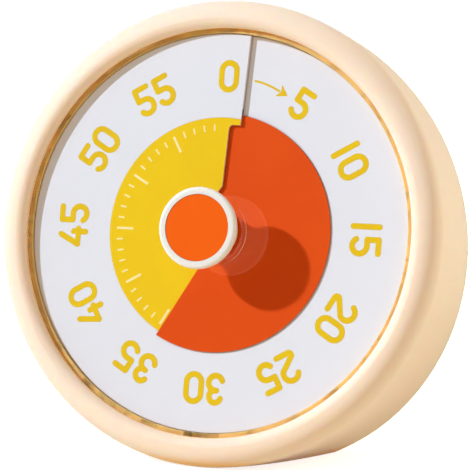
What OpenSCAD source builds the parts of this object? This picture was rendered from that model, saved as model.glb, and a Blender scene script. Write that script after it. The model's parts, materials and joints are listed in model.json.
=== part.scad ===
// Visual countdown timer, 60 minutes, leaning back on a flat cut in its underside.
// World frame: X right, Y to the rear, Z up. Origin on the base flat, below the dial centre.
// Face frame, see face(): x right, y towards the 0 of the dial, z towards the viewer,
// with z = 0 at the mean height of the dial.

/* [Case] */
// Widest radius of the front rim
case_r = 42; // [41.4:0.1:43]
// Loss of radius from the rim to the rear edge
case_draft = 0.4; // [0:0.1:0.8]
// Thickness of the side wall
wall = 2; // [1.6:0.1:2.2]
// Thickness of the floor
floor_t = 2.2; // [1.6:0.1:2.6]
// Backward lean of the dial in degrees
lean = 10; // [9:0.5:11]
// Height of the dial centre above the base flat
axis_height = 41.5; // [41:0.1:42]
// Distance of the upright back face behind the dial centre
back_y = 21.2; // [20.8:0.1:23]
// Rounding of the rear edge
edge_r = 4.2; // [3:0.1:4.6]
// Outer rounding of the front rim
rim_r = 3.5; // [3:0.1:4]
// Inner rounding of the front rim
rim_inner_r = 1.75; // [1.5:0.05:2]
// Depth of the rim's widest line behind the mean dial height
rim_drop = 0.5; // [0.2:0.1:0.9]
// Inner radius of the rim at the dial
opening_r = 36; // [35.4:0.1:36.3]
// Width of the ledge that the lens sits on
lens_ledge = 0.75; // [0.5:0.05:1]

/* [Dial] */
// Climb of the dial over one turn
dial_pitch = 0.85; // [0.8:0.01:0.95]
// Thickness of the thin inner part of the dial
dial_t = 0.35; // [0.3:0.01:0.38]
// Thickness of the outer part of the dial below its lowest edge
dial_base_t = 0.7; // [0.6:0.05:0.9]
// Clockwise turn of the step and its notch in degrees
step_turn = 2.5; // [1.5:0.5:3]
// Distance of the step beside the 0 from the turned centre line
step_x = 2.3; // [2:0.1:2.7]
// Radius of the hole in the dial around the hub
dial_hole_r = 5.5; // [5.4:0.05:6]
// Inner radius of the thick outer part
cavity_r = 22.7; // [22.4:0.1:23.5]
// Distance of the yellow scale's cut edge from the turned centre line
notch_x = 0.2; // [0:0.1:0.6]
// How far the notch reaches from the centre
notch_reach = 19.5; // [18:0.1:20]
// Radius of the yellow scale
label_r = 20.7; // [20:0.1:21]
// Thickness of the yellow label
label_t = 0.06; // [0.05:0.01:0.08]
// Thickness of the carrier ring behind the dial
carrier_t = 1.2; // [1:0.1:1.6]
// Width of the carrier's flange outside the dial
flange_w = 2.7; // [2.4:0.1:2.9]
// Height of the flange above the dial's flat underside
flange_up = 0.4; // [0.3:0.1:0.5]

/* [Timer disc] */
// Radius of the orange disc
disc_r = 21.5; // [21:0.1:21.8]
// Thickness of the orange disc
disc_t = 0.15; // [0.12:0.01:0.18]
// Gap between the dial and the disc above it
disc_gap = 0.14; // [0.12:0.01:0.16]
// Minutes shown at rest
rest_minutes = 35; // [5:1:55]
// Distance of the disc's cut edge from the centre line
cut_x = 0.9; // [0.5:0.1:1.2]
// Radius of the hub
hub_r = 5; // [4.6:0.1:5.1]

/* [Lens] */
// Thickness of the lens
lens_t = 0.5; // [0.4:0.05:0.6]
// Gap between the disc at its highest and the lens
lens_gap = 0.15; // [0.1:0.05:0.25]
// Radius of the hole in the lens
lens_hole_r = 5.3; // [5.2:0.05:5.4]
// Width of the bead around that hole
bead_w = 0.9; // [0.6:0.05:1]
// Height of the bead above the lens
bead_h = 0.25; // [0.15:0.05:0.35]

/* [Knob] */
// Outer radius of the knob's rim
knob_r = 7.25; // [6.8:0.05:7.8]
// Height of the knob's face above the mean dial height
knob_top = 10; // [9.4:0.1:11]
// Height of the knob's head along its rim
head_h = 1.7; // [1.6:0.1:2.4]
// Rounding of the rim's edges
head_round = 0.6; // [0.4:0.05:0.7]
// Radius of the stem at the lens
stem_r = 4.4; // [4:0.05:4.7]
// Length of the stem below its flare
neck_h = 2.4; // [2:0.1:3]
// Radius of the orange insert
insert_r = 5.9; // [5.4:0.05:6.1]
// Thickness of the orange insert
insert_t = 1.1; // [0.9:0.1:1.4]

/* [Movement] */
// Radius of the main shaft
shaft_r = 1.5; // [1.3:0.05:1.6]
// Depth of the flat on the shaft
shaft_flat = 0.4; // [0.3:0.05:0.5]
// Outer radius of the bush
bush_r = 2.4; // [2.2:0.05:2.6]
// Radius of the small arbors
arbor_r = 0.5; // [0.4:0.05:0.6]
// Gap between the carrier and the front plate, which the posts span
post_h = 0.6; // [0.5:0.05:0.8]
// Thickness of the movement plates
plate_t = 1; // [0.9:0.05:1.1]
// Inner height of the movement
movement_h = 5.2; // [5:0.1:5.4]
// Half width of the movement plates
plate_half_w = 18; // [17.8:0.1:18.5]
// Reach of the plates towards the 0
plate_up = 20; // [19.6:0.1:20.4]
// Reach of the plates away from the 0
plate_down = 9; // [8.8:0.1:9.2]
// Distance of the three ears from the centre
ear_dist = 26.5; // [26:0.1:27.5]
// Radius of an ear and of its post
ear_r = 2.8; // [2.5:0.1:3]
// Size of one gear tooth (module)
tooth = 0.35; // [0.34:0.005:0.355]
// Thickness of a wheel
wheel_t = 0.8; // [0.7:0.05:0.85]
// Radius of the rotor's magnet
magnet_r = 2.2; // [2:0.05:2.3]
// Radius of the coil
coil_r = 2.2; // [2:0.05:2.3]
// Length of the coil
coil_len = 7; // [6:0.1:7.2]

/* [Battery] */
// Radius of the AA cell
cell_r = 7.25; // [7:0.05:7.25]
// Length of the AA cell with its nub
cell_len = 50.5; // [49.5:0.1:50.5]
// Distance of the cell's axis below the dial centre
cell_drop = 20.5; // [20.1:0.1:20.9]
// Distance of the cell's axis behind the dial centre
cell_y = 11; // [10.8:0.1:11.3]
// Thickness of the battery bay's walls
bay_wall = 1.2; // [1:0.05:1.3]
// Thickness of the door
door_t = 1.4; // [1.2:0.05:1.5]
// Half width of the door
door_half_w = 27; // [26.8:0.1:27.2]
// Radius of the door's hinge pins
pin_r = 0.8; // [0.6:0.05:0.85]
// Length of a hinge pin
pin_len = 2; // [1.5:0.1:2.2]

/* [Rear cover] */
// Thickness of the rear cover
cover_t = 2.2; // [2.1:0.05:2.4]
// Depth of the rim that locates the cover in the case
spigot = 2.5; // [2:0.1:3]
// Distance of the cover screws inside the widest radius
screw_inset = 8; // [7.8:0.1:8.6]
// Radius of the screw bosses
boss_r = 2.6; // [2.4:0.1:2.8]
// Radius of a cover screw's thread
screw_r = 1.1; // [1:0.05:1.2]
// Radius of the buzzer
buzzer_r = 8.5; // [8:0.1:9]
// Radius of one sound hole
sound_r = 0.8; // [0.6:0.05:0.9]
// Travel of the sound switch to each side
switch_travel = 2; // [1.5:0.1:2.1]

/* [Clearances] */
// Gap between parts that are fitted together
fit = 0.1; // [0.06:0.01:0.12]
// Radial clearance of a shaft or pin that turns
running = 0.06; // [0.04:0.01:0.08]

/* [Hidden] */
$fn = 96;

// Heights in the face frame
dial_low = -dial_pitch / 2;
dial_high = dial_pitch / 2;
dial_back = dial_low - dial_base_t;
shoulder_z = dial_back + flange_up;
carrier_back = dial_back - carrier_t;
front_plate_z = carrier_back - post_h;
plate_inner = front_plate_z - plate_t;
rear_inner = plate_inner - movement_h;
rear_plate_z = rear_inner - plate_t;
disc_peak = dial_high + disc_gap + disc_t;
lens_z = disc_peak + lens_gap;
rim_z = -rim_drop;
rim_crest = rim_z + rim_r;
label_gap = 0.02;
knob_low = lens_z + fit;
socket_top = knob_top - insert_t - 1;

// Radii in the face frame
dial_r = opening_r - fit;
lens_seat_r = opening_r + lens_ledge + fit;
lens_r = lens_seat_r - fit;
carrier_r = dial_r + flange_w;
pocket_r = carrier_r + fit;
case_depth = 36;
case_rear_r = case_r - case_draft;
cavity_front_r = case_r - wall;
cavity_rear_r = case_rear_r - wall;

// Upright planes of the back
parting_y = back_y - edge_r;
cover_in_y = back_y - cover_t;
back_mid_z = axis_height - back_y * tan(lean);
far = 200;

// Steps of the dial's climb
turn_steps = 90;
minutes = 60;
deg_per_minute = 360 / minutes;

// Notch: rounding of its outer corner, and the slant of its inner end
notch_round = 0.8;
slant_w = 0.8;
slant_low = dial_hole_r + 1.6;
slant_high = slant_low + 1.3;

// Gear train: teeth, then places in the face frame
centre_teeth = 48;
wheel_teeth = 36;
pinion_teeth = 12;
first_dist = tooth * (centre_teeth + pinion_teeth) / 2;
next_dist = tooth * (wheel_teeth + pinion_teeth) / 2;
first_dir = 30;
third_dir = 100;
rotor_dir = 190;
inter_pos = first_dist * [cos(first_dir), sin(first_dir)];
third_pos = inter_pos + next_dist * [cos(third_dir), sin(third_dir)];
rotor_pos = third_pos + next_dist * [cos(rotor_dir), sin(rotor_dir)];
layer_gap = 0.6;
wheel_room = 0.8;
layer1 = plate_inner - wheel_room - wheel_t;
layer2 = layer1 - layer_gap - wheel_t;
layer3 = layer2 - layer_gap - wheel_t;
arbor_bite = 0.7;
magnet_h = 1.6;
stator_t = 0.8;
stator_z = (layer1 + layer2) / 2 - stator_t / 2;
stator_ring_r = 4;
core_x = -14;
core_half_w = 1.5;
coil_mid_y = 5.6;
leg_w = 3;
leg_gap = 0.2;
high_leg_y = coil_mid_y + coil_len / 2 + leg_gap;
low_leg_y = coil_mid_y - coil_len / 2 - leg_gap - leg_w;
leg_post_r = 1.2;
riser_x = -9.4;
riser_w = 2.4;
flange_h = 0.4;

// Movement fixings
ear_angles = [20, 90, 160];
pillar_r = 1.6;
pillar_points = [[15.8, 17.3], [-15.8, 17.3], [15.8, -6.8], [-15.8, -6.8]];
small_screw_r = 0.8;
small_head_r = 1.5;
small_head_h = 0.8;
clutch_t = 0.3;
clutch_r = 3.2;

// Battery bay and door
cell_z = axis_height - cell_drop;
bay_gap = 0.25;
bay_room = 0.4;
bay_lip = 0.8;
contact_t = 0.4;
contact_half = 5;
spring_room = 2.3;
spring_r = 4;
spring_taper = 1.6;
wire_r = 0.25;
nub_gap = 0.2;
bay_half_w = (cell_len + spring_room + contact_t + nub_gap) / 2;
bay_front_y = cell_y - cell_r - bay_gap;
bay_low_z = cell_z - cell_r - bay_room;
bay_high_z = cell_z + cell_r + bay_room;
cell_start_x = -bay_half_w + spring_room;
nub_len = 1.3;
nub_r = 2.75;
barrel_r = door_t / 2 + 0.6;
hinge_y = back_y - barrel_r;
hinge_z = cell_z - cell_r + 0.5;
door_high_z = bay_high_z + 0.9;
door_gap = 0.3;
pin_wall = 1.4;
nail_r = 5;

// Cover screws: angles about the middle of the back
screw_dist = case_r - screw_inset;
screw_angles = [50, 130, 188, 352];
boss_len = 8;
boss_gap = 0.3;
rib_w = 1.6;
screw_head_r = 2.1;
screw_head_h = 1.4;
cross_depth = 0.7;

// Buzzer, board and sound switch, placed from the case
buzzer_inset = 17;
buzzer_rise = 4.5;
buzzer_pos = [buzzer_inset - case_r, axis_height + buzzer_rise];
buzzer_h = 3.5;
board_half_w = 17;
board_rise = 10.5;
board_h = 16;
board_low = axis_height + board_rise;
board_high = board_low + board_h;
board_t = 1;
board_room = 3.8;
board_y = cover_in_y - board_room;
post_inset = 3;
board_posts = [for (x = [-1, 1], z = [board_low + post_inset, board_high - post_inset])
    [x * (board_half_w - post_inset), z]];
post_r = 1.6;
stake_r = 0.9;
switch_z = (board_low + board_high) / 2;
switch_half_w = 5;
switch_half_h = 2.5;
slider_half_w = 1.5;
slider_half_h = 1.1;
slider_depth = 1.7;
slot_gap = 0.3;
recess = 1;

// Places a thing in the face frame
module face() {
    translate([0, 0, axis_height]) rotate([90 - lean, 0, 0]) children();
}

// Extrudes an outline drawn in X and Z, from world y0 to y1
module upright(y0, y1) {
    translate([0, y1, 0]) rotate([90, 0, 0]) linear_extrude(y1 - y0) children();
}

// Everything above height z, between world y0 and y1
module room(z, y0, y1) {
    translate([-far / 2, y0, z]) cube([far, y1 - y0, far]);
}

function clockwise(p, minute) = let(a = minute * deg_per_minute)
    [p[0] * cos(a) + p[1] * sin(a), -p[0] * sin(a) + p[1] * cos(a)];

// A point at radius r on a line that passes the centre at distance x, turned to a minute
function dial_point(r, x, minute) = clockwise([x, sqrt(r * r - x * x)], minute);

function quad(a, b, c, d) = [[a, b, c], [a, c, d]];

// Thin slab that climbs with the dial, from minute m0 to m1, z0 at minute 0
module climbing_slab(r0, r1, x, m0, m1, z0, t) {
    steps = round(turn_steps * (m1 - m0) / minutes);
    points = [for (i = [0:steps]) let(m = m0 + (m1 - m0) * i / steps, z = z0 + dial_pitch * m / minutes,
        a = dial_point(r0, x, m), b = dial_point(r1, x, m))
        each [[a[0], a[1], z], [b[0], b[1], z], [b[0], b[1], z + t], [a[0], a[1], z + t]]];
    sides = [for (i = [0:steps - 1]) let(p = 4 * i, q = p + 4) each concat(
        quad(p + 3, p + 2, q + 2, q + 3), quad(p, q, q + 1, p + 1),
        quad(p + 1, q + 1, q + 2, p + 2), quad(q, p, p + 3, q + 3))];
    end = 4 * steps;
    polyhedron(points, concat(sides, quad(0, 1, 2, 3), quad(end, end + 3, end + 2, end + 1)));
}

// Dial: a thin climbing middle and a thick outer part with a flat underside, stepped at minute 0
module dial_solid() {
    n = turn_steps;
    points = [for (i = [0:n]) let(m = minutes * i / n, z = dial_low + dial_pitch * i / n,
        h = dial_point(dial_hole_r, step_x, m), c = dial_point(cavity_r, step_x, m),
        o = dial_point(dial_r, step_x, m))
        each [[h[0], h[1], z], [c[0], c[1], z], [o[0], o[1], z], [o[0], o[1], dial_back],
        [c[0], c[1], dial_back], [c[0], c[1], z - dial_t], [h[0], h[1], z - dial_t]]];
    // the last station shares the flat underside's points with the first
    tops = [for (i = [0:n - 1]) let(p = 7 * i, q = p + 7) each concat(
        quad(p, p + 1, q + 1, q), quad(p + 1, p + 2, q + 2, q + 1),
        quad(p + 6, q + 6, q + 5, p + 5), quad(q + 6, p + 6, p, q))];
    walls = [for (i = [0:n - 2]) let(p = 7 * i, q = p + 7) each concat(
        quad(p + 3, q + 3, q + 2, p + 2), quad(p + 4, q + 4, q + 3, p + 3),
        quad(q + 4, p + 4, p + 5, q + 5))];
    p = 7 * (n - 1);
    q = 7 * n;
    seam = [[p + 3, 3, 2], [p + 3, 2, q + 2], [p + 3, q + 2, p + 2],
        [p + 4, 4, 3], [p + 4, 3, p + 3],
        [p + 4, p + 5, q + 5], [p + 4, q + 5, 1], [p + 4, 1, 5], [p + 4, 5, 4],
        [2, 1, q + 5], [2, q + 5, q + 1], [2, q + 1, q + 2],
        [6, 5, 1], [6, 1, 0], [q + 6, q, q + 1], [q + 6, q + 1, q + 5]];
    polyhedron(points, concat(tops, walls, seam));
}

// The notch where the disc comes up, cut out of the raised side only
module notch() {
    translate([0, 0, dial_low + label_gap]) linear_extrude(dial_pitch + 2 * label_t) difference() {
        polygon([[notch_x, notch_reach], [notch_x, slant_high], [notch_x - slant_w, slant_low],
            [notch_x - slant_w, 0], [step_x, 0], [step_x, notch_reach]]);
        translate([notch_x, notch_reach - notch_round]) difference() {
            square(notch_round);
            translate([notch_round, 0]) circle(notch_round, $fn = 24);
        }
    }
}

module outer_cone() {
    translate([0, 0, rim_z - case_depth]) cylinder(case_depth, case_rear_r, case_r);
}

// Free space inside the case wall, in the face frame, shrunk by a gap
module inner_cone(gap = 0) {
    translate([0, 0, carrier_back - case_depth])
        cylinder(case_depth, cavity_rear_r - gap, cavity_front_r - gap);
}

module rim_profile() {
    crest_r = case_r - rim_r;
    inner_z = rim_crest - rim_inner_r;
    intersection() {
        translate([crest_r, rim_z]) circle(rim_r);
        translate([crest_r, rim_z]) square(rim_r + 1);
    }
    intersection() {
        translate([crest_r, inner_z]) circle(rim_inner_r);
        translate([crest_r - rim_inner_r, inner_z]) square([rim_inner_r, rim_inner_r + 1]);
    }
    translate([opening_r, rim_z]) square([crest_r - opening_r, inner_z - rim_z]);
}

module screw_boss(a) {
    translate([screw_dist * cos(a), 0, back_mid_z + screw_dist * sin(a)]) children();
}

module front_case() color("antiquewhite") {
    difference() {
        union() {
            difference() {
                union() {
                    face() rotate_extrude($fn = 180) rim_profile();
                    face() outer_cone();
                }
                face() translate([0, 0, dial_back]) cylinder(far, opening_r, opening_r);
                face() translate([0, 0, lens_z]) cylinder(far, lens_seat_r, lens_seat_r);
                face() translate([0, 0, carrier_back - 0.1])
                    cylinder(shoulder_z - carrier_back + 0.1, pocket_r, pocket_r);
                intersection() {
                    face() inner_cone();
                    room(floor_t, -far / 2, far / 2);
                }
            }
            // screw bosses, each on a rib to the wall
            intersection() {
                union() for (a = screw_angles) screw_boss(a) upright(parting_y - boss_len, parting_y) {
                    circle(boss_r);
                    rotate(a) translate([0, -rib_w / 2]) square([cavity_front_r + 1 - screw_dist, rib_w]);
                }
                face() inner_cone(-wall / 2);
            }
        }
        for (a = screw_angles) screw_boss(a)
            upright(parting_y - boss_len + 1, parting_y + 1) circle(screw_r);
        translate([-far / 2, parting_y, -far / 2]) cube(far);
        translate([-far / 2, -far / 2, -far]) cube(far);
    }
}

// One thin upright slice of the outer case, set in by the rear edge's rounding
module edge_slice(turn) {
    y = parting_y + edge_r * sin(turn);
    intersection() {
        face() translate([0, 0, -case_depth - rim_drop])
            cylinder(case_depth, case_rear_r - edge_r * (1 - cos(turn)), case_r - edge_r * (1 - cos(turn)));
        translate([-far / 2, y - 0.02, 0]) cube([far, 0.02, far]);
    }
}

module bay_box(grow, y0, y1) {
    translate([-bay_half_w - grow, y0, bay_low_z - grow])
        cube([2 * (bay_half_w + grow), y1 - y0, bay_high_z - bay_low_z + 2 * grow]);
}

module sound_holes() {
    pitch = 4 * sound_r;
    circle(sound_r, $fn = 24);
    for (a = [0:60:300]) rotate(a) translate([pitch, 0]) circle(sound_r, $fn = 24);
}

module back_cover() color("antiquewhite") {
    socket_x = door_half_w + door_gap;
    difference() {
        union() {
            // dished cover
            difference() {
                hull() {
                    translate([0, 0.02, 0]) edge_slice(0);
                    for (turn = [15:15:90]) edge_slice(turn);
                }
                intersection() {
                    face() inner_cone();
                    room(floor_t, parting_y - 1, cover_in_y);
                }
            }
            // locating rim, let into the case
            intersection() {
                difference() {
                    face() inner_cone(fit);
                    intersection() {
                        face() inner_cone(fit + bay_wall);
                        room(floor_t + fit + bay_wall, -far / 2, far / 2);
                    }
                    for (a = screw_angles) screw_boss(a) upright(0, parting_y + 0.01) {
                        circle(boss_r + boss_gap);
                        rotate(a) translate([0, -rib_w / 2 - boss_gap])
                            square([far / 4, rib_w + 2 * boss_gap]);
                    }
                }
                room(floor_t + fit, parting_y - spigot, cover_in_y + 0.1);
            }
            // battery bay and the blocks that hold the door's pins
            intersection() {
                bay_box(bay_wall, bay_front_y - bay_wall, cover_in_y + 0.1);
                face() inner_cone(fit);
            }
            for (s = [-1, 1]) translate([s * (socket_x + (pin_len + pin_wall) / 2), 0, hinge_z])
                upright(hinge_y - pin_r - pin_wall, cover_in_y + 0.1)
                    square([pin_len + pin_wall, 2 * (pin_r + pin_wall)], center = true);
            // pillars for the screws, and posts for the board
            for (a = screw_angles) screw_boss(a) upright(parting_y, cover_in_y + 0.1) circle(boss_r);
            for (p = board_posts) translate([p[0], 0, p[1]]) {
                upright(board_y + board_t, cover_in_y + 0.1) circle(post_r);
                upright(board_y - 0.4, cover_in_y) circle(stake_r);
            }
        }
        bay_box(0, bay_front_y, cover_in_y - 0.4);
        // opening, door recess and hinge
        translate([-bay_half_w + bay_lip, cover_in_y - 1, hinge_z])
            cube([2 * (bay_half_w - bay_lip), far, bay_high_z - hinge_z - bay_lip / 2]);
        translate([-socket_x, back_y - door_t - fit, hinge_z])
            cube([2 * socket_x, far, door_high_z + door_gap - hinge_z]);
        translate([-socket_x, hinge_y, hinge_z]) rotate([0, 90, 0])
            cylinder(2 * socket_x, barrel_r + door_gap, barrel_r + door_gap);
        translate([-socket_x, hinge_y, hinge_z - barrel_r - door_gap])
            cube([2 * socket_x, far, barrel_r + door_gap]);
        translate([-socket_x - pin_len - fit, hinge_y, hinge_z]) rotate([0, 90, 0])
            cylinder(2 * (socket_x + pin_len + fit), pin_r + running, pin_r + running);
        // fingernail notch above the door
        translate([0, back_y, door_high_z]) rotate([90, 0, 0])
            translate([0, 0, -1]) cylinder(1 + door_t * 0.7, nail_r, nail_r);
        // screw holes with sunk heads
        for (a = screw_angles) screw_boss(a) {
            upright(parting_y - 1, far) circle(screw_r + fit);
            upright(back_y - screw_head_h - 0.2, far) circle(screw_head_r + fit);
        }
        translate([buzzer_pos[0], 0, buzzer_pos[1]]) upright(cover_in_y - 1, far) sound_holes();
        // slot of the sound switch, in a shallow recess
        translate([0, 0, switch_z]) {
            upright(cover_in_y - 1, far) square([2 * (switch_travel + slider_half_w + slot_gap),
                2 * (slider_half_h + slot_gap)], center = true);
            upright(back_y - recess, far)
                square([2 * (switch_half_w + recess), 2 * switch_half_h + recess], center = true);
        }
    }
}

module lens() color("lightcyan", 0.35) face() translate([0, 0, lens_z]) difference() {
    union() {
        cylinder(lens_t, lens_r, lens_r);
        // bead around the hole
        cylinder(lens_t + bead_h, lens_hole_r + bead_w, lens_hole_r + bead_w);
    }
    translate([0, 0, -1]) cylinder(lens_t + bead_h + 2, lens_hole_r, lens_hole_r);
}

module dial_plate() color("white") face() rotate(-step_turn) difference() {
    dial_solid();
    notch();
}

module yellow_label() color("gold") face() rotate(-step_turn) difference() {
    climbing_slab(dial_hole_r + 2 * fit, label_r, step_x, 0, minutes, dial_low + label_gap, label_t);
    notch();
}

module dial_carrier() color("gainsboro") face() difference() {
    union() {
        translate([0, 0, carrier_back]) cylinder(carrier_t, carrier_r, carrier_r);
        translate([0, 0, dial_back - 0.1]) cylinder(flange_up + 0.1, carrier_r, carrier_r);
        for (a = ear_angles) rotate(a) translate([ear_dist, 0, front_plate_z])
            cylinder(post_h + 0.1, ear_r, ear_r);
    }
    translate([0, 0, dial_back]) cylinder(1, dial_r + fit / 2, dial_r + fit / 2);
    translate([0, 0, carrier_back - 1]) cylinder(carrier_t + 2, cavity_r, cavity_r);
    for (a = ear_angles) rotate(a) translate([ear_dist, 0, front_plate_z - 1])
        cylinder(post_h + carrier_t + 0.6, small_screw_r, small_screw_r);
}

module timer_disc() color("orangered") face()
    climbing_slab(hub_r, disc_r, -cut_x, rest_minutes - minutes, rest_minutes, dial_low + disc_gap, disc_t);

// D-shaped outline of the shaft, grown by a gap
module shaft_outline(gap) {
    intersection() {
        circle(shaft_r + gap);
        translate([-far / 2, -far / 2]) square([far / 2 + shaft_r - shaft_flat + gap, far]);
    }
}

module disc_hub() color("tomato") face() difference() {
    low = dial_low + disc_gap + dial_pitch * (rest_minutes / minutes - 1);
    translate([0, 0, low]) cylinder(dial_pitch + disc_t, hub_r - 0.02, hub_r - 0.02);
    translate([0, 0, low - 1]) linear_extrude(dial_pitch + 3) shaft_outline(running);
}

module knob_cap() color("antiquewhite") face() {
    head_low = knob_top - head_h;
    flare_z = knob_low + neck_h;
    rise = head_low - flare_z;
    out = knob_r - head_round - stem_r;
    // circle that leaves the stem straight up and meets the head's underside
    flare_r = (rise * rise + out * out) / (2 * out);
    difference() {
        rotate_extrude($fn = 120) difference() {
            union() {
                translate([0, knob_low]) square([stem_r, head_low - knob_low]);
                difference() {
                    translate([0, flare_z]) square([knob_r - head_round, rise + 0.1]);
                    translate([stem_r + flare_r, flare_z]) circle(flare_r, $fn = 160);
                }
                translate([0, head_low + head_round]) square([knob_r, head_h - 2 * head_round]);
                translate([0, head_low]) square([knob_r - head_round, head_h]);
                for (z = [head_low + head_round, knob_top - head_round])
                    translate([knob_r - head_round, z]) circle(head_round, $fn = 32);
            }
            translate([-far, -far / 2]) square([far, far]);
        }
        translate([0, 0, knob_top - insert_t]) cylinder(2, insert_r + fit / 2, insert_r + fit / 2);
        translate([0, 0, knob_low - 1]) linear_extrude(socket_top + 1 - knob_low) shaft_outline(fit / 2);
    }
}

module knob_insert() color("orangered") face()
    translate([0, 0, knob_top - insert_t]) cylinder(insert_t - fit, insert_r, insert_r);

module main_shaft() color("silver") face() {
    end_z = rear_plate_z + 2 * fit;
    flat_z = carrier_back + flange_h;
    top_z = socket_top - 2 * fit;
    translate([0, 0, end_z]) cylinder(flat_z + fit - end_z, shaft_r, shaft_r);
    translate([0, 0, flat_z]) linear_extrude(top_z - flat_z) shaft_outline(0);
    // collar that the clutch washer presses against
    translate([0, 0, layer1 - clutch_t - fit - flange_h]) cylinder(flange_h, shaft_r + 1, shaft_r + 1);
}

module shaft_bush() color("goldenrod") face() difference() {
    union() {
        translate([0, 0, plate_inner]) cylinder(carrier_back + flange_h - plate_inner, bush_r, bush_r);
        translate([0, 0, plate_inner - flange_h]) cylinder(flange_h, bush_r + 0.8, bush_r + 0.8);
    }
    translate([0, 0, plate_inner - 1]) cylinder(4, shaft_r + running, shaft_r + running);
}

module plate_outline() {
    corner = 2.5;
    translate([-plate_half_w + corner, -plate_down])
        square([2 * (plate_half_w - corner), plate_up + plate_down]);
    translate([-plate_half_w, -plate_down + corner])
        square([2 * plate_half_w, plate_up + plate_down - 2 * corner]);
    for (x = [-1, 1], y = [-plate_down + corner, plate_up - corner])
        translate([x * (plate_half_w - corner), y]) circle(corner);
}

module arbor_holes() {
    for (p = [inter_pos, third_pos, rotor_pos]) translate(p) circle(arbor_r + running, $fn = 32);
}

module front_plate() color("whitesmoke") face() translate([0, 0, plate_inner]) difference() {
    linear_extrude(plate_t) difference() {
        union() {
            plate_outline();
            for (a = ear_angles) rotate(a) {
                translate([0, -ear_r]) square([ear_dist, 2 * ear_r]);
                translate([ear_dist, 0]) circle(ear_r);
            }
        }
        circle(bush_r + fit / 2);
        arbor_holes();
        for (a = ear_angles) rotate(a) translate([ear_dist, 0]) circle(small_screw_r + fit);
        for (p = pillar_points) translate(p) circle(small_screw_r, $fn = 32);
    }
}

module rear_plate() color("whitesmoke") face() difference() {
    union() {
        translate([0, 0, rear_plate_z]) linear_extrude(plate_t) plate_outline();
        for (p = pillar_points) translate([p[0], p[1], rear_inner - 0.1])
            cylinder(movement_h + 0.1, pillar_r, pillar_r);
        // posts under the stator's two legs
        for (y = [low_leg_y, high_leg_y]) translate([core_x, y + leg_w / 2, rear_inner - 0.1])
            cylinder(stator_z - rear_inner + 0.1, leg_post_r, leg_post_r);
    }
    translate([0, 0, rear_plate_z - 1]) linear_extrude(plate_t + 2) {
        circle(shaft_r + running);
        arbor_holes();
    }
    for (p = pillar_points) translate([p[0], p[1], rear_plate_z - 1])
        cylinder(movement_h + plate_t + 2, small_screw_r + fit, small_screw_r + fit, $fn = 32);
}

// One wheel: short thin teeth that leave room on both sides, with one tooth at angle turn
module teeth(count, turn) {
    pitch_r = tooth * count / 2;
    step = 360 / count;
    root_r = pitch_r - 1.15 * tooth;
    tip_r = pitch_r + 0.8 * tooth;
    rotate(turn) polygon([for (i = [0:count - 1]) each [
        root_r * [cos((i - 0.27) * step), sin((i - 0.27) * step)],
        pitch_r * [cos((i - 0.19) * step), sin((i - 0.19) * step)],
        tip_r * [cos((i - 0.07) * step), sin((i - 0.07) * step)],
        tip_r * [cos((i + 0.07) * step), sin((i + 0.07) * step)],
        pitch_r * [cos((i + 0.19) * step), sin((i + 0.19) * step)],
        root_r * [cos((i + 0.27) * step), sin((i + 0.27) * step)]]]);
}

// A wheel and a pinion on one arbor between the plates
module arbor(pos, z0, z1) {
    translate([pos[0], pos[1], z0]) cylinder(z1 - z0, arbor_r, arbor_r);
}

module centre_wheel() color("gold") face() translate([0, 0, layer1]) linear_extrude(wheel_t) difference() {
    teeth(centre_teeth, first_dir);
    circle(shaft_r + fit / 2);
    for (a = [0:90:270]) rotate(a + 20) translate([5, 0]) circle(1.5, $fn = 32);
}

module clutch_washer() color("darkkhaki") face() translate([0, 0, layer1 - clutch_t])
    linear_extrude(clutch_t - 0.02) difference() {
        circle(clutch_r);
        circle(shaft_r + fit / 2);
    }

module intermediate_wheel() color("gold") face() {
    translate([inter_pos[0], inter_pos[1], layer2 - 0.01]) linear_extrude(layer1 + wheel_t - layer2)
        teeth(pinion_teeth, first_dir + 180 + 180 / pinion_teeth);
    translate([inter_pos[0], inter_pos[1], layer2]) linear_extrude(wheel_t) teeth(wheel_teeth, third_dir);
    arbor(inter_pos, rear_inner - arbor_bite, plate_inner + arbor_bite);
}

module third_wheel() color("gold") face() {
    translate([third_pos[0], third_pos[1], layer3]) linear_extrude(layer2 + wheel_t - layer3)
        teeth(pinion_teeth, third_dir + 180 + 180 / pinion_teeth);
    translate([third_pos[0], third_pos[1], layer3]) linear_extrude(wheel_t) teeth(wheel_teeth, rotor_dir);
    arbor(third_pos, rear_inner - arbor_bite, plate_inner + arbor_bite);
}

module rotor() color("dimgray") face() {
    translate([rotor_pos[0], rotor_pos[1], layer3 - 0.1]) linear_extrude(wheel_t + 0.3)
        teeth(pinion_teeth, rotor_dir + 180 + 180 / pinion_teeth);
    translate([rotor_pos[0], rotor_pos[1], stator_z + stator_t / 2 - magnet_h / 2 + 0.2])
        cylinder(magnet_h - 0.2, magnet_r, magnet_r);
    arbor(rotor_pos, rear_inner - arbor_bite, plate_inner + arbor_bite);
}

module stator() color("slategray") face() translate([0, 0, stator_z]) linear_extrude(stator_t) {
    left_x = core_x - core_half_w;
    difference() {
        union() {
            translate(rotor_pos) circle(stator_ring_r);
            translate([left_x, high_leg_y]) square([rotor_pos[0] - core_x, leg_w]);
        }
        translate(rotor_pos) circle(magnet_r + 0.5);
    }
    translate([left_x, low_leg_y]) square([2 * core_half_w, high_leg_y + leg_w - low_leg_y]);
    translate([left_x, low_leg_y]) square([riser_x + riser_w - left_x, leg_w]);
    translate([riser_x, low_leg_y]) square([riser_w, high_leg_y + 1 - low_leg_y]);
}

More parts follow.
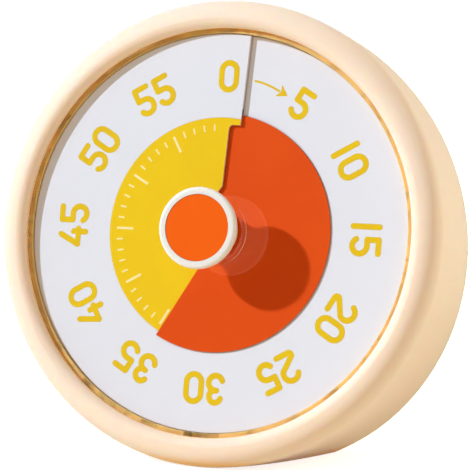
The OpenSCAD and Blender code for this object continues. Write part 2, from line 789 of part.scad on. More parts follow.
module coil() color("peru") face() translate([core_x, coil_mid_y, stator_z + stator_t / 2]) rotate([90, 0, 0])
    difference() {
        union() {
            translate([0, 0, -coil_len / 2]) cylinder(coil_len, coil_r - 0.4, coil_r - 0.4);
            for (z = [-coil_len / 2, coil_len / 2 - 0.5]) translate([0, 0, z]) cylinder(0.5, coil_r, coil_r);
        }
        cube([2 * core_half_w + fit, stator_t + fit, 2 * coil_len], center = true);
    }

module circuit_board() color("forestgreen") difference() {
    upright(board_y, board_y + board_t) translate([-board_half_w, board_low])
        square([2 * board_half_w, board_high - board_low]);
    for (p = board_posts) translate([p[0], 0, p[1]]) upright(0, far) circle(stake_r + fit / 2, $fn = 32);
}

module buzzer() color("black") translate([buzzer_pos[0], 0, buzzer_pos[1]]) difference() {
    upright(cover_in_y - buzzer_h, cover_in_y - 0.05) circle(buzzer_r);
    upright(cover_in_y - 1, far) circle(1.2, $fn = 32);
}

module switch_body() color("silver") translate([0, 0, switch_z]) difference() {
    upright(board_y + board_t, cover_in_y - 0.3)
        square([2 * switch_half_w, 2 * switch_half_h], center = true);
    upright(cover_in_y - slider_depth - fit, far)
        square([2 * (switch_travel + slider_half_w) + fit, 2 * (slider_half_h + fit)], center = true);
}

module switch_slider() color("darkslategray") translate([0, 0, switch_z])
    upright(cover_in_y - slider_depth, back_y - slot_gap)
        square([2 * slider_half_w, 2 * slider_half_h], center = true);

module battery_cell() color("darkseagreen") translate([cell_start_x, cell_y, cell_z]) rotate([0, 90, 0]) {
    cylinder(cell_len - nub_len, cell_r, cell_r);
    cylinder(cell_len, nub_r, nub_r);
}

module contact_spring() color("silver") {
    coil_turns = 3;
    steps = 16;
    span = spring_room - contact_t - 2 * wire_r - fit;
    sides = 6;
    rings = coil_turns * steps;
    points = [for (i = [0:rings]) let(a = 360 * i / steps, r = spring_r - spring_taper * i / rings,
        x = -bay_half_w + contact_t + wire_r + span * i / rings)
        for (k = [0:sides - 1]) let(b = 360 * k / sides, rr = r + wire_r * cos(b))
        [x + wire_r * sin(b), cell_y + rr * cos(a), cell_z + rr * sin(a)]];
    skin = [for (i = [0:rings - 1], k = [0:sides - 1]) let(p = i * sides + k, n = i * sides + (k + 1) % sides)
        each quad(p, n, n + sides, p + sides)];
    last = rings * sides;
    polyhedron(points, concat(skin, [for (k = [1:sides - 2]) [0, k + 1, k]],
        [for (k = [1:sides - 2]) [last, last + k, last + k + 1]]));
    contact_square(-bay_half_w);
}

// Square of sheet metal across the bay, from x on
module contact_square(x) {
    translate([x, cell_y - contact_half, cell_z - contact_half])
        cube([contact_t, 2 * contact_half, 2 * contact_half]);
}

module contact_plate() color("silver") contact_square(bay_half_w - contact_t - 0.02);

module battery_door() color("antiquewhite") {
    translate([-door_half_w, back_y - door_t, hinge_z])
        cube([2 * door_half_w, door_t, door_high_z - hinge_z]);
    translate([-door_half_w, hinge_y, hinge_z]) rotate([0, 90, 0])
        cylinder(2 * door_half_w, barrel_r, barrel_r);
    translate([-door_half_w - door_gap - pin_len, hinge_y, hinge_z]) rotate([0, 90, 0])
        cylinder(2 * (door_half_w + door_gap + pin_len), pin_r, pin_r);
}

module cover_screws() color("silver") for (a = screw_angles) screw_boss(a) difference() {
    union() {
        upright(back_y - screw_head_h, back_y - 0.1) circle(screw_head_r);
        upright(parting_y - boss_len + 2, back_y - screw_head_h + 0.1) circle(screw_r - 0.02);
    }
    for (turn = [0, 90]) upright(back_y - fit - cross_depth, back_y)
        rotate(turn) square([1.2 * screw_head_r, screw_r / 2], center = true);
}

module movement_screws() color("silver") face() for (a = ear_angles) rotate(a) translate([ear_dist, 0, 0]) {
    translate([0, 0, plate_inner - small_head_h]) cylinder(small_head_h, small_head_r, small_head_r);
    translate([0, 0, plate_inner - 0.1]) cylinder(carrier_back + 0.5 - plate_inner,
        small_screw_r - 0.02, small_screw_r - 0.02);
}

module plate_screws() color("silver") face() for (p = pillar_points) translate([p[0], p[1], 0]) {
    translate([0, 0, rear_plate_z - small_head_h]) cylinder(small_head_h, small_head_r, small_head_r);
    translate([0, 0, rear_plate_z - 0.1]) cylinder(plate_inner + 0.9 - rear_plate_z,
        small_screw_r - 0.02, small_screw_r - 0.02);
}

front_case();
back_cover();
lens();
dial_plate();
yellow_label();
dial_carrier();
timer_disc();
disc_hub();
knob_cap();
knob_insert();
main_shaft();
shaft_bush();
front_plate();
rear_plate();
centre_wheel();
clutch_washer();
intermediate_wheel();
third_wheel();
rotor();
stator();
coil();
circuit_board();
buzzer();
switch_body();
switch_slider();
battery_cell();
contact_spring();
contact_plate();
battery_door();
cover_screws();
movement_screws();
plate_screws();
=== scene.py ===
# %% [markdown]
# # A visual countdown timer
# A round timer in cream plastic leans back on a flat cut in its underside. A knob in the middle
# turns a thin orange disc, which comes up through a slit at the 0 and covers the time that is left.
# The solid parts come in ready made, as a fixed frame. This script gives them their finishes, adds
# the print that only shows on the surface, and lights the whole like a small studio photograph.

# %% Load the solid parts
import json
import math
import bpy
from mathutils import Matrix, Vector


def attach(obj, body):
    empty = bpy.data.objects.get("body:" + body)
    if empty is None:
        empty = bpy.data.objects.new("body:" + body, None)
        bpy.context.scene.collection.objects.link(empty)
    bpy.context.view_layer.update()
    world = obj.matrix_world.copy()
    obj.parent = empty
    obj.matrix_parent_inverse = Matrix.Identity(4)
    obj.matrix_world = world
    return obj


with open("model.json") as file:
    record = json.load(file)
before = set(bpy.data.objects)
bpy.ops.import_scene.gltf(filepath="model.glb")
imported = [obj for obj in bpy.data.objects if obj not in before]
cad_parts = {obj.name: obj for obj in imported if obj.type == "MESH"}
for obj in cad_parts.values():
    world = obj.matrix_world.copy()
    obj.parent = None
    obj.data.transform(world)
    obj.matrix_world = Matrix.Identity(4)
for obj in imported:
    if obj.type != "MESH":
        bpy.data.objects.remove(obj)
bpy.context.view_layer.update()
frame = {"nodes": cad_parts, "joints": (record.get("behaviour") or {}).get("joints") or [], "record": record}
scene = bpy.context.scene
scene.view_settings.view_transform = "Standard"
MM = 0.001
print("solid parts:", len(frame["nodes"]))

# %% [markdown]
# ## A ruler that lies on the dial
# Everything on the front is easier to place on the dial than in the room, because the dial leans
# back. The knob's joint already says where the dial's centre is and which way its axis points, so
# three directions are worked out from it: to the right, up to the 0, and out to the viewer. From
# here on, places on the front are plain millimetres on the dial.

# %% Directions of the dial
knob_joint = next(joint for joint in frame["joints"] if joint["name"] == "knob_turn")
dial_centre = Vector(knob_joint["pos_m"])
to_viewer = -Vector(knob_joint["axis"]).normalized()
to_right = Vector((1, 0, 0))
to_zero = to_viewer.cross(to_right)


def on_face(x, y, z=0.0):
    """A place on the dial, in millimetres, as a place in the room."""
    return dial_centre + (to_right * x + to_zero * y + to_viewer * z) * MM


print("the dial leans back", round(math.degrees(math.asin(to_viewer.z)), 1), "degrees")

# %% [markdown]
# ## The camera
# The photograph was taken with a long lens from the right of the dial and a little above the table,
# which makes the circles look slightly narrow and shows the right side of the case. The ring of
# numbers is the best ruler for this: its twelve middles lie on a circle of 28 mm, and one camera
# puts them all where the photograph has them. Its two angles are measured from the dial's own axis,
# and the small roll turns the picture.

# %% Camera
camera_turn = math.radians(21.285)
camera_drop = math.radians(-3.583)
camera_roll = math.radians(4.422)
camera_far = 429.5
lens_length = 183.4
film_width = 36
nearest_seen = 0.05
farthest_seen = 20
aim = on_face(3.53, -0.28)

camera_place = on_face(camera_far * math.sin(camera_turn) * math.cos(camera_drop),
                       camera_far * math.sin(camera_drop),
                       camera_far * math.cos(camera_turn) * math.cos(camera_drop))
forward = (aim - camera_place).normalized()
side = forward.cross(to_zero).normalized()
top = side.cross(forward)
rolled_side = side * math.cos(camera_roll) + top * math.sin(camera_roll)
rolled_top = top * math.cos(camera_roll) - side * math.sin(camera_roll)

camera = bpy.data.objects.new("camera", bpy.data.cameras.new("camera"))
scene.collection.objects.link(camera)
scene.camera = camera
camera.data.lens = lens_length
camera.data.sensor_width = film_width
camera.data.clip_start = nearest_seen
camera.data.clip_end = farthest_seen
camera.matrix_world = Matrix((
    (rolled_side.x, rolled_top.x, -forward.x, camera_place.x),
    (rolled_side.y, rolled_top.y, -forward.y, camera_place.y),
    (rolled_side.z, rolled_top.z, -forward.z, camera_place.z),
    (0, 0, 0, 1)))
print("camera", round((camera_place - dial_centre).length, 3), "m from the dial")

# %% [markdown]
# ## The room: floor and surroundings
# The timer stands on a seamless white sheet. A white sheet can be made by pouring on light, but
# then the timer washes out too. Here the sheet and the surroundings look white only to the camera,
# to glossy reflections and through glass, which Light Path can tell apart, while the light that
# falls on the timer stays at a normal level. The sheet still receives the timer's shadow, and the
# light that it sends back up is warm, as the underside of the case shows.

# %% Colours and small node helpers
def srgb(red, green, blue):
    """A colour as it looks on screen, 0 to 255, as the numbers that shaders use."""
    return tuple((v / 255 / 12.92) if v <= 10 else ((v / 255 + 0.055) / 1.055) ** 2.4
                 for v in (red, green, blue))


def add_node(tree, kind, **settings):
    """A new node with some of its settings and input values filled in."""
    node = tree.nodes.new("ShaderNode" + kind)
    for name, value in settings.items():
        if hasattr(node, name):
            setattr(node, name, value)
        else:
            node.inputs[name.replace("_", " ")].default_value = value
    return node


def either_of(tree, one, other):
    """1 where one of two masks is 1."""
    larger = add_node(tree, "Math", operation="MAXIMUM")
    tree.links.new(one, larger.inputs[0])
    tree.links.new(other, larger.inputs[1])
    return larger.outputs[0]


def seen_directly(tree):
    """1 for rays of the camera, of reflections and through glass, 0 for the light itself."""
    path = add_node(tree, "LightPath")
    unbent = either_of(tree, path.outputs["Is Camera Ray"], path.outputs["Is Glossy Ray"])
    return either_of(tree, unbent, path.outputs["Is Transmission Ray"])


def choose_shader(tree, mask, plain, chosen):
    """One shader where a mask is 0, and another where it is 1."""
    choose = add_node(tree, "MixShader")
    tree.links.new(mask, choose.inputs[0])
    tree.links.new(plain, choose.inputs[1])
    tree.links.new(chosen, choose.inputs[2])
    return choose.outputs[0]


def cleared_tree(owner):
    """The node tree of a world or a material, with nothing in it."""
    owner.use_nodes = True
    owner.node_tree.nodes.clear()
    return owner.node_tree


# %% Surroundings
soft_light_colour = (1.0, 0.87, 0.77)
soft_light = 0.455

room = bpy.data.worlds.new("room")
scene.world = room
tree = cleared_tree(room)
glow = add_node(tree, "Background", Color=(*soft_light_colour, 1), Strength=soft_light)
white = add_node(tree, "Background", Color=(1, 1, 1, 1), Strength=1.0)
shown = choose_shader(tree, seen_directly(tree), glow.outputs[0], white.outputs[0])
tree.links.new(shown, add_node(tree, "OutputWorld").inputs["Surface"])
print("soft light", soft_light, "of colour", soft_light_colour)

# %% Floor
floor_half = 4.0
floor_gap = 0.02 * MM
floor_lift = 0.8
paper_colour = (0.84, 0.74, 0.56, 1)


def flat_sheet(name, corners, material):
    """A sheet with four corners."""
    mesh = bpy.data.meshes.new(name)
    mesh.from_pydata(corners, [], [(0, 1, 2, 3)])
    mesh.materials.append(material)
    sheet = bpy.data.objects.new(name, mesh)
    scene.collection.objects.link(sheet)
    return sheet


white_sheet = bpy.data.materials.new("white_sheet")
tree = cleared_tree(white_sheet)
paper = add_node(tree, "BsdfDiffuse", Color=paper_colour)
lift = add_node(tree, "Emission", Color=(1, 1, 1, 1))
strength = add_node(tree, "Math", operation="MULTIPLY")
strength.inputs[1].default_value = floor_lift
tree.links.new(seen_directly(tree), strength.inputs[0])
tree.links.new(strength.outputs[0], lift.inputs["Strength"])
both = add_node(tree, "AddShader")
tree.links.new(paper.outputs[0], both.inputs[0])
tree.links.new(lift.outputs[0], both.inputs[1])
tree.links.new(both.outputs[0], add_node(tree, "OutputMaterial").inputs["Surface"])

floor_corners = [(-floor_half, -floor_half, 0), (floor_half, -floor_half, 0),
                 (floor_half, floor_half, 0), (-floor_half, floor_half, 0)]
floor = flat_sheet("floor", floor_corners, white_sheet)
floor.location.z = -floor_gap
print("floor", 2 * floor_half, "m wide")

# %% [markdown]
# ## The lamps
# The long round shadow of the knob gives the main light away: it falls down and to the right, about
# as far as the knob is tall, with a fairly sharp edge. So the main light is a small, far lamp at
# the upper left, which a sun lamp makes well. It is a little cool and the soft light of the room is
# warm, so the white dial comes out neutral where both meet, while shaded cream turns warmer.
#
# The side wall is bright again beyond a darker band, so a second, wide and slightly warm lamp
# stands on the right and somewhat behind. A dark card in front stands where the flat lens would
# mirror the room, as product photographers do to keep glass clear. The camera can't see it, and it
# takes no light away.

# %% Lamps
key_direction = (to_right * -0.695 + to_zero * 0.398 + to_viewer * 0.600).normalized()
key_power = 3.5
key_colour = (0.68, 0.82, 1.0)
key_width = math.radians(2.2)
side_power = 2.95
side_colour = (0.98, 0.95, 0.76)
side_size = 0.8
side_place = Vector((0.60, 0.38, 0.30))


def add_lamp(name, kind, power, colour, place):
    """A lamp at a place, pointing at the middle of the dial. Gives back its settings."""
    data = bpy.data.lights.new(name, kind)
    data.energy = power
    data.color = colour
    lamp = bpy.data.objects.new(name, data)
    lamp.location = place
    lamp.rotation_mode = "QUATERNION"
    lamp.rotation_quaternion = (dial_centre - place).to_track_quat("-Z", "Y")
    scene.collection.objects.link(lamp)
    return data


key = add_lamp("key", "SUN", key_power, key_colour, dial_centre + key_direction)
key.angle = key_width
side_fill = add_lamp("side_fill", "AREA", side_power, side_colour, dial_centre + side_place)
side_fill.size = side_size
print("main light", round(math.degrees(math.asin(key_direction.z))), "degrees up")

# %% Dark card
card_half = 0.16
card_far = 0.5

to_camera = camera_place - dial_centre
mirrored = (to_viewer * (2 * to_camera.dot(to_viewer)) - to_camera).normalized()
card_place = dial_centre + mirrored * card_far
card_right = mirrored.cross(to_zero).normalized() * card_half
card_up = card_right.cross(mirrored).normalized() * card_half

dark_felt = bpy.data.materials.new("dark_felt")
dark_felt.use_nodes = True
felt_shader = dark_felt.node_tree.nodes["Principled BSDF"]
felt_shader.inputs["Base Color"].default_value = (0, 0, 0, 1)
felt_shader.inputs["Specular IOR Level"].default_value = 0

card_corners = [card_place - card_right - card_up, card_place + card_right - card_up,
                card_place + card_right + card_up, card_place - card_right + card_up]
card = flat_sheet("dark_card", card_corners, dark_felt)
card.visible_camera = False
card.visible_diffuse = False
card.visible_shadow = False
print("dark card", card_far, "m from the dial")

# %% [markdown]
# ## One shared skin for moulded and printed surfaces
# Moulded plastic is never perfectly even: the tool leaves a fine spark grain, and the colour drifts
# by a shade over a few centimetres. Both are the same effect on every plastic here, at other sizes,
# so they are one node group with named inputs. It puts out a colour, a roughness and a normal, and
# each material feeds them to its own shader. Drawn metal will end in the same three outputs, so the
# way there is a function.
#
# Two things are good to know. A Mix node keeps sockets for numbers and vectors too, so its colour
# sockets are found by their place: 6 and 7 going in, 2 coming out. And a noise hardly ever reaches
# 0 or 1: most of it lies between 0.3 and 0.7, so that part is stretched to the full range.

# %% Helpers for shared node groups
mix_from = 6
mix_to = 7
mix_result = 2
noise_low = 0.3
noise_high = 0.7


def new_group(name, inputs, outputs):
    """An empty shader group with its named sockets, and its two end nodes."""
    group = bpy.data.node_groups.new(name, "ShaderNodeTree")
    for label, kind, value in inputs:
        socket = group.interface.new_socket(label, in_out="INPUT", socket_type="NodeSocket" + kind)
        socket.default_value = value
    for label, kind in outputs:
        group.interface.new_socket(label, in_out="OUTPUT", socket_type="NodeSocket" + kind)
    return group, group.nodes.new("NodeGroupInput"), group.nodes.new("NodeGroupOutput")


def mixed(tree, mask, colour, other_colour):
    """A colour that goes from one to another as a mask goes from 0 to 1."""
    mix = add_node(tree, "Mix", data_type="RGBA")
    tree.links.new(mask, mix.inputs["Factor"])
    tree.links.new(colour, mix.inputs[mix_from])
    tree.links.new(other_colour, mix.inputs[mix_to])
    return mix.outputs[mix_result]


def end_in_surface(group, given, out, tint_mask, second_colour, grain, depth, relief_height):
    """Ends a group in a mixed colour, and in a gloss and a relief that follow a grain."""
    link = group.links.new
    tint = mixed(group, tint_mask, given.outputs["Colour"], given.outputs[second_colour])
    link(tint, out.inputs["Colour"])
    gloss = add_node(group, "MapRange", From_Min=noise_low, From_Max=noise_high)
    link(grain, gloss.inputs["Value"])
    link(given.outputs["Gloss low"], gloss.inputs["To Min"])
    link(given.outputs["Gloss high"], gloss.inputs["To Max"])
    link(gloss.outputs["Result"], out.inputs["Roughness"])
    relief = add_node(group, "Bump", Distance=relief_height)
    link(grain, relief.inputs["Height"])
    link(given.outputs[depth], relief.inputs["Strength"])
    link(relief.outputs["Normal"], out.inputs["Normal"])


# %% Shared node group: moulded skin
drift_low = 0.35
drift_high = 0.65
grain_height = 0.03 * MM


def moulded_skin_group():
    """Fine grain, a slow drift of colour, and a gloss that follows the grain."""
    group, given, out = new_group(
        "moulded_skin",
        [("Colour", "Color", (0.8, 0.8, 0.8, 1)), ("Drift colour", "Color", (0.7, 0.7, 0.7, 1)),
         ("Drift size", "Float", 40.0), ("Grain size", "Float", 4000.0),
         ("Grain depth", "Float", 0.1), ("Gloss low", "Float", 0.35), ("Gloss high", "Float", 0.5)],
        [("Colour", "Color"), ("Roughness", "Float"), ("Normal", "Vector")])
    link = group.links.new
    place = add_node(group, "TexCoord").outputs["Object"]
    drift = add_node(group, "TexNoise", Detail=3.0, Roughness=0.6)
    link(place, drift.inputs["Vector"])
    link(given.outputs["Drift size"], drift.inputs["Scale"])
    spread = add_node(group, "MapRange", From_Min=drift_low, From_Max=drift_high)
    link(drift.outputs["Fac"], spread.inputs["Value"])
    grain = add_node(group, "TexNoise", Detail=4.0, Roughness=0.55)
    link(place, grain.inputs["Vector"])
    link(given.outputs["Grain size"], grain.inputs["Scale"])
    end_in_surface(group, given, out, spread.outputs["Result"], "Drift colour",
                   grain.outputs["Fac"], "Grain depth", grain_height)
    return group


moulded_skin = moulded_skin_group()
print("moulded skin:", len(moulded_skin.nodes), "nodes")

# %% Materials on a shared group
slot_of = {part["node"]: part["material_slot"] for part in frame["record"]["subparts"]}


def surface(name, group, group_values, shader_values):
    """A material whose own shader takes colour, gloss and normal from a shared group."""
    material = bpy.data.materials.new(name)
    material.use_nodes = True
    tree = material.node_tree
    shader = tree.nodes["Principled BSDF"]
    for label, value in shader_values.items():
        shader.inputs[label.replace("_", " ")].default_value = value
    skin = add_node(tree, "Group", node_tree=group, **group_values)
    tree.links.new(skin.outputs["Colour"], shader.inputs["Base Color"])
    tree.links.new(skin.outputs["Roughness"], shader.inputs["Roughness"])
    tree.links.new(skin.outputs["Normal"], shader.inputs["Normal"])
    return material


def plastic(name, colour, drift_colour, drift_size, grain_size, grain_depth, gloss, **shader_values):
    """A plastic or printed finish."""
    skin_values = {"Colour": (*colour, 1), "Drift_colour": (*drift_colour, 1),
                   "Drift_size": drift_size, "Grain_size": grain_size, "Grain_depth": grain_depth,
                   "Gloss_low": gloss[0], "Gloss_high": gloss[1]}
    return surface(name, moulded_skin, skin_values, shader_values)


def wear(material, slot):
    """Puts a material on the solid parts of one slot."""
    worn_by = [node for node, name in slot_of.items() if name == slot]
    for node in worn_by:
        mesh = frame["nodes"][node].data
        mesh.materials.clear()
        mesh.materials.append(material)
    print(slot, "worn by", ", ".join(worn_by))


# %% [markdown]
# ## Cream plastic of the case
# The case is a satin, slightly see-through plastic: where it turns away from the light it does not
# go grey but honey-coloured. A grey shade would need a second paint colour; the honest way is to
# let some light travel under the surface, further for red than for blue.
#
# In a narrow place, such as the seat of the lens, light goes to and fro between cream walls and
# takes on more of their colour each time. Few bounces are traced, so a second shared group paints
# that shade into the colour: it measures how closed in a place is, and mixes towards honey by that
# much. This is painted shade, and the dial and the knob get it too.

# %% Shared node group: painted crevice shade
nearness_samples = 8


def honey_shade_group():
    """Paints shade: mixes a colour towards a deeper one where other surfaces are near."""
    group, given, out = new_group(
        "painted_crevice_shade",
        [("Colour", "Color", (0.8, 0.8, 0.8, 1)), ("Deep colour", "Color", (0.6, 0.4, 0.2, 1)),
         ("Reach", "Float", 0.01), ("Closed", "Float", 0.3)],
        [("Colour", "Color")])
    link = group.links.new
    nearness = add_node(group, "AmbientOcclusion", samples=nearness_samples)
    link(given.outputs["Reach"], nearness.inputs["Distance"])
    depth = add_node(group, "MapRange", interpolation_type="SMOOTHSTEP", From_Min=1.0)
    link(nearness.outputs["AO"], depth.inputs["Value"])
    link(given.outputs["Closed"], depth.inputs["From Max"])
    tint = mixed(group, depth.outputs["Result"], given.outputs["Colour"], given.outputs["Deep colour"])
    link(tint, out.inputs["Colour"])
    return group


painted_crevice_shade = honey_shade_group()


def deepen(material, shade_colour, reach, closed):
    """Puts the painted crevice shade between a plastic's skin and its shader."""
    tree = material.node_tree
    base = tree.nodes["Principled BSDF"].inputs["Base Color"]
    shade = add_node(tree, "Group", node_tree=painted_crevice_shade, Deep_colour=(*shade_colour, 1),
                     Reach=reach, Closed=closed)
    tree.links.new(base.links[0].from_socket, shade.inputs["Colour"])
    tree.links.new(shade.outputs["Colour"], base)
    print(material.name, "deepens within", round(reach / MM, 2), "mm of a wall")


# %% Cream case and knob
cream_plastic = plastic(
    "cream_plastic", srgb(252, 225, 201), srgb(252, 223, 197), 30, 2600, 0.10, (0.48, 0.6),
    Specular_IOR_Level=0.3, Subsurface_Weight=0.7, Subsurface_Radius=(1.0, 0.5, 0.2),
    Subsurface_Scale=1.6 * MM)
# Painted honey shade where other surfaces are near: the seat of the lens and the bottom at the floor.
deepen(cream_plastic, srgb(255, 198, 118), 2.5 * MM, 0.1)
wear(cream_plastic, "cream_plastic")

knob_plastic = plastic(
    "knob_plastic", srgb(238, 233, 224), srgb(237, 231, 220), 90, 5200, 0.05, (0.24, 0.34),
    Subsurface_Weight=0.35, Subsurface_Radius=(1.0, 0.5, 0.22), Subsurface_Scale=1.0 * MM)
# Painted shade on the knob near the dial and lens, tinted yellow like light bounced from the scale.
deepen(knob_plastic, srgb(238, 226, 160), 6 * MM, 0.4)
wear(knob_plastic, "knob_cream")

# %% [markdown]
# ## Dial, yellow scale and orange disc
# The dial is a matt white plate, the scale on it a matt print, and the disc a thin coloured sheet.
# All three are flat colours in the photograph, so their own life is only a very fine grain and a
# gloss that is a little uneven, as on real printed sheet. On the dial, painted shade darkens the
# foot of the step and the edges under the disc.

# %% Dial and discs
matt = 0.08
print_gloss = (0.5, 0.62)

white_dial = plastic("white_dial", srgb(233, 232, 235), srgb(231, 230, 233), 60, 6000, 0.04,
                     print_gloss, Specular_IOR_Level=matt)
# Painted shade at the foot of the step's riser and along the edges under the disc.
deepen(white_dial, srgb(168, 140, 116), 0.42 * MM, 0.3)
wear(white_dial, "white_dial")

yellow_print = plastic("yellow_print", srgb(244, 202, 22), srgb(241, 198, 24), 110, 7000, 0.05,
                       print_gloss, Specular_IOR_Level=matt)
wear(yellow_print, "yellow_print")

orange_disc = plastic("orange_disc", srgb(228, 80, 10), srgb(225, 76, 9), 80, 6500, 0.06,
                      print_gloss, Specular_IOR_Level=matt)
wear(orange_disc, "orange_disc")

orange_insert = plastic("orange_insert", srgb(243, 98, 5), srgb(241, 94, 5), 150, 5200, 0.05,
                        (0.3, 0.42), Specular_IOR_Level=0.1)
wear(orange_insert, "orange_insert")

# %% [markdown]
# ## The clear lens
# Glass in a ray tracer blocks lamps unless their bent light is traced too, which is slow and noisy.
# The usual way is to let shadow rays and soft light straight through with a Transparent shader, and
# to keep real glass for what the eye sees. The lens is thin, so nothing is lost.

# %% Lens
lens_tint = (0.995, 0.99, 0.99, 1)
lens_roughness = 0.012
lens_bending = 1.46


def lens_finish():
    """Clear polished sheet that lets the lamps through."""
    material = bpy.data.materials.new("clear_lens")
    material.use_nodes = True
    tree = material.node_tree
    shader = tree.nodes["Principled BSDF"]
    shader.inputs["Base Color"].default_value = lens_tint
    shader.inputs["Roughness"].default_value = lens_roughness
    shader.inputs["IOR"].default_value = lens_bending
    shader.inputs["Transmission Weight"].default_value = 1.0
    path = add_node(tree, "LightPath")
    let_through = either_of(tree, path.outputs["Is Shadow Ray"], path.outputs["Is Diffuse Ray"])
    clear = add_node(tree, "BsdfTransparent")
    shown = choose_shader(tree, let_through, shader.outputs[0], clear.outputs[0])
    tree.links.new(shown, tree.nodes["Material Output"].inputs["Surface"])
    return material


wear(lens_finish(), "clear_lens")

# %% [markdown]
# ## Metal, magnet, board and cell
# These are mostly hidden, but the screws, the switch and the contacts show at the back, and all of
# them show when the timer is taken apart. Turned and drawn metal has fine lines in it, so a third
# group stretches a noise across the part. The winding is one thin wire laid turn by turn, and the
# same noise, pressed together along the coil, stands for its turns.

# %% Shared node group: drawn metal
line_height = 0.02 * MM


def drawn_metal_group():
    """Fine lines, as turning or drawing leaves them, in the gloss and in the normal."""
    group, given, out = new_group(
        "drawn_metal",
        [("Colour", "Color", (0.6, 0.6, 0.6, 1)), ("Worn colour", "Color", (0.5, 0.5, 0.5, 1)),
         ("Stretch", "Vector", (1.0, 1.0, 1.0)), ("Line depth", "Float", 0.1),
         ("Gloss low", "Float", 0.2), ("Gloss high", "Float", 0.4)],
        [("Colour", "Color"), ("Roughness", "Float"), ("Normal", "Vector")])
    link = group.links.new
    place = add_node(group, "Mapping")
    link(add_node(group, "TexCoord").outputs["Object"], place.inputs["Vector"])
    link(given.outputs["Stretch"], place.inputs["Scale"])
    lines = add_node(group, "TexNoise", Scale=1000.0, Detail=3.0)
    link(place.outputs["Vector"], lines.inputs["Vector"])
    end_in_surface(group, given, out, lines.outputs["Fac"], "Worn colour",
                   lines.outputs["Fac"], "Line depth", line_height)
    return group


drawn_metal = drawn_metal_group()


def metal(name, colour, worn_colour, stretch, line_depth, gloss, metallic=1.0):
    """A metal finish."""
    line_values = {"Colour": (*colour, 1), "Worn_colour": (*worn_colour, 1), "Stretch": stretch,
                   "Line_depth": line_depth, "Gloss_low": gloss[0], "Gloss_high": gloss[1]}
    return surface(name, drawn_metal, line_values, {"Metallic": metallic})


print("drawn metal:", len(drawn_metal.nodes), "nodes")

# %% Metals
metals = {
    "steel": (srgb(196, 197, 200), srgb(168, 170, 174), (4, 0.4, 4), 0.2, (0.22, 0.38)),
    "brass": (srgb(222, 188, 112), srgb(201, 162, 86), (4, 0.5, 4), 0.15, (0.24, 0.4)),
    "copper_winding": (srgb(190, 98, 48), srgb(150, 70, 32), (0.3, 1, 12), 0.6, (0.25, 0.4)),
    "cell_sleeve": (srgb(112, 150, 146), srgb(104, 142, 138), (0.5, 6, 6), 0.05, (0.26, 0.34), 0.35),
}
for slot, looks in metals.items():
    wear(metal(slot, *looks), slot)

# %% Plastics of the movement
hidden_plastics = {
    "white_moulding": (srgb(226, 226, 224), srgb(218, 218, 214), 70, 3000, 0.12, (0.42, 0.55)),
    "magnet": (srgb(52, 52, 54), srgb(44, 44, 46), 300, 2200, 0.3, (0.55, 0.7)),
    "green_board": (srgb(24, 96, 56), srgb(18, 84, 48), 120, 1500, 0.1, (0.2, 0.3)),
    "black_plastic": (srgb(38, 38, 40), srgb(32, 32, 34), 80, 2600, 0.2, (0.4, 0.55)),
}
for slot, looks in hidden_plastics.items():
    wear(plastic(slot, *looks), slot)

# %% [markdown]
# ## The surface that the print lies on
# The dial is not flat. It climbs by less than a millimetre in one turn, like a very shallow spiral
# stair with a single step beside the 0, so that the disc can slide up over it. Print that ignored
# this would sink in on one side and float on the other, so a function gives the dial's height at
# any place, by the same rule that shaped the plate.

# %% Height of the dial
dial_pitch = 0.85
step_x = 2.3
step_turn = 2.5
number_radius = 28.0


def dial_height(x, y):
    """Height of the dial's surface at a place on it, in millimetres."""
    turned = math.degrees(math.atan2(x, y) - math.asin(step_x / math.hypot(x, y))) - step_turn
    return dial_pitch * ((turned % 360) / 360 - 0.5)


compass = {"right": (number_radius, 0), "bottom": (0, -number_radius), "left": (-number_radius, 0)}
for way, (x, y) in compass.items():
    print("height at the", way, round(dial_height(x, y), 2), "mm")

# %% [markdown]
# ## Lines of one width
# The numerals, the line of the arrow and the minute marks are drawn as with a pen, each in one
# width. A text object would bring a font with its own shapes, and these numerals are simpler than
# any: a line with round ends, bent into arcs. So each is a path, widened to both sides: the outside
# of a sharp bend gets an arc, the inside its corner point, and each round end a half circle.

# %% Places and arcs on the flat dial
def at(x, y):
    """A place on the flat dial, in millimetres."""
    return Vector((x, y))


def arc(cx, cy, radius, start, end, count=14):
    """Points along an arc, from one angle to another, in degrees."""
    angles = [math.radians(start + (end - start) * i / count) for i in range(count + 1)]
    return [at(cx + radius * math.cos(a), cy + radius * math.sin(a)) for a in angles]


def normal_of(a, b):
    """Direction to the left of the way from a to b."""
    way = (b - a).normalized()
    return at(-way.y, way.x)


def fan(centre, start, turn, half, count=8):
    """Points round a centre, from one direction on through a turn in degrees."""
    first = math.degrees(math.atan2(start.y, start.x))
    return arc(centre.x, centre.y, half, first, first + turn, count)


# %% Pen strokes
rounded_bend = -20
least_cosine = 0.4


def one_side(path, half):
    """The left edge of a stroke."""
    edge = [path[0] + normal_of(path[0], path[1]) * half]
    for before, here, after in zip(path, path[1:], path[2:]):
        n0, n1 = normal_of(before, here), normal_of(here, after)
        bend = math.degrees(math.atan2(n0.x * n1.y - n0.y * n1.x, n0.dot(n1)))
        if bend < rounded_bend:
            edge += fan(here, n0, bend, half)
        else:
            middle = (n0 + n1).normalized()
            edge.append(here + middle * (half / max(least_cosine, middle.dot(n0))))
    edge.append(path[-1] + normal_of(path[-2], path[-1]) * half)
    return edge


def stroke_outline(path, width, round_ends=True):
    """Closed outline of a stroke along a path."""
    half = width / 2
    left, right = one_side(path, half), one_side(path[::-1], half)
    if not round_ends:
        return left + right
    end = fan(path[-1], normal_of(path[-2], path[-1]), -180, half)[1:-1]
    start = fan(path[0], normal_of(path[1], path[0]), -180, half)[1:-1]
    return left + end + right + start


